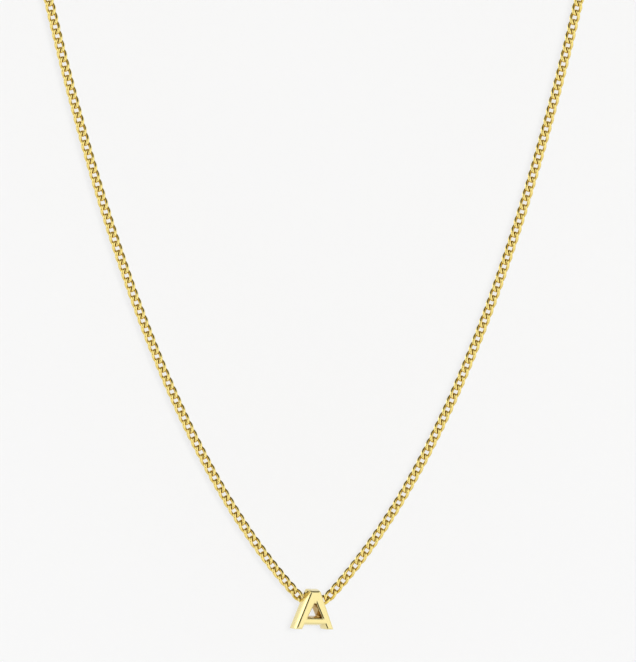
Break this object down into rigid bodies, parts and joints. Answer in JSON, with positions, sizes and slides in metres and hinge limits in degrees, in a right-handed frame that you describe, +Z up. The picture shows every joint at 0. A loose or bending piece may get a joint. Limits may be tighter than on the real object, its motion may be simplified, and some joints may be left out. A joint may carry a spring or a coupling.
{
  "type": "initial pendant necklace",
  "caption": "Gold necklace: a plain capital letter A hangs on a closed curb chain, which passes through a short bail on the letter's back.",
  "frame": {"origin": "top centre of the loop's inside, where the necklace rests on the back of the neck", "axes": "+Z up, the way the necklace hangs; the letter's front faces -Y, turned 19 degrees about the vertical; +X to the viewer's right"},
  "size_m": [0.1068, 0.0069, 0.1885],
  "materials": {
    "letter_gold": "high polish yellow gold",
    "chain_gold": "high polish yellow gold",
    "clasp_gold": "high polish yellow gold"
  },
  "bodies": {
    "necklace": {"chain_left": "chain_gold", "chain_right": "chain_gold", "clasp": "clasp_gold"},
    "pendant": {"letter": "letter_gold"}
  },
  "joints": [
    {"name": "pendant_swing", "type": "hinge", "parent": "necklace", "child": "pendant", "pos_m": [-0.00094, -0.00032, -0.18036], "axis": [0.9451, 0.3254, -0.0314], "range_deg": [-25, 90]}
  ]
}
